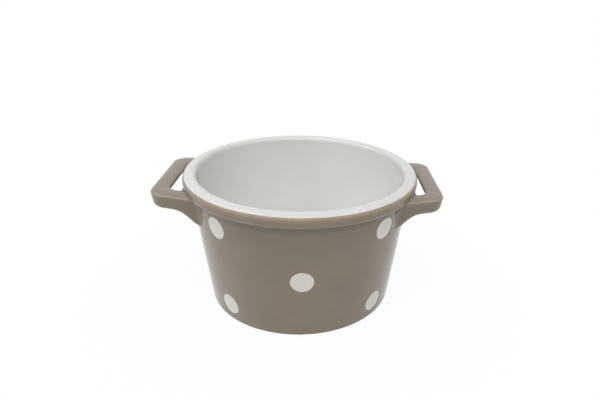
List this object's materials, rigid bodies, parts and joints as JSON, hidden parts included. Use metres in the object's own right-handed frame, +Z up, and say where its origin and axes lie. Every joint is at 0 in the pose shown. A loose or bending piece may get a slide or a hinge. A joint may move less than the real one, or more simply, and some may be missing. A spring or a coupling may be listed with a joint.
{
  "type": "baking pot",
  "caption": "Small round glazed stoneware baking pot with tapered wall, collared rim, a bracketed loop handle on each side and let-in polka dots, for oven portions served at the table.",
  "frame": {"origin": "middle of the foot ring, on the surface the pot stands on", "axes": "+Z up along the pot's axis, +X through the right handle seen from the front, -Y towards the front"},
  "size_m": [0.1254, 0.105, 0.0602],
  "materials": {
    "bare_stoneware": "unglazed, fired, fine grained",
    "white_glaze": "glossy warm white glaze",
    "taupe_glaze": "glossy taupe glaze, browner where it thins on edges"
  },
  "bodies": {
    "root": {"clay_body": "bare_stoneware", "right_handle": "bare_stoneware", "left_handle": "bare_stoneware", "right_front_slip_joint": "bare_stoneware", "right_back_slip_joint": "bare_stoneware", "left_front_slip_joint": "bare_stoneware", "left_back_slip_joint": "bare_stoneware", "inner_white_glaze": "white_glaze", "outer_taupe_glaze": "taupe_glaze", "underside_glaze": "taupe_glaze", "right_handle_glaze": "taupe_glaze", "left_handle_glaze": "taupe_glaze", "upper_dot_1": "white_glaze", "upper_dot_2": "white_glaze", "upper_dot_3": "white_glaze", "upper_dot_4": "white_glaze", "middle_dot_1": "white_glaze", "middle_dot_2": "white_glaze", "middle_dot_3": "white_glaze", "middle_dot_4": "white_glaze", "lower_dot_1": "white_glaze", "lower_dot_2": "white_glaze", "lower_dot_3": "white_glaze", "lower_dot_4": "white_glaze"}
  },
  "joints": []
}
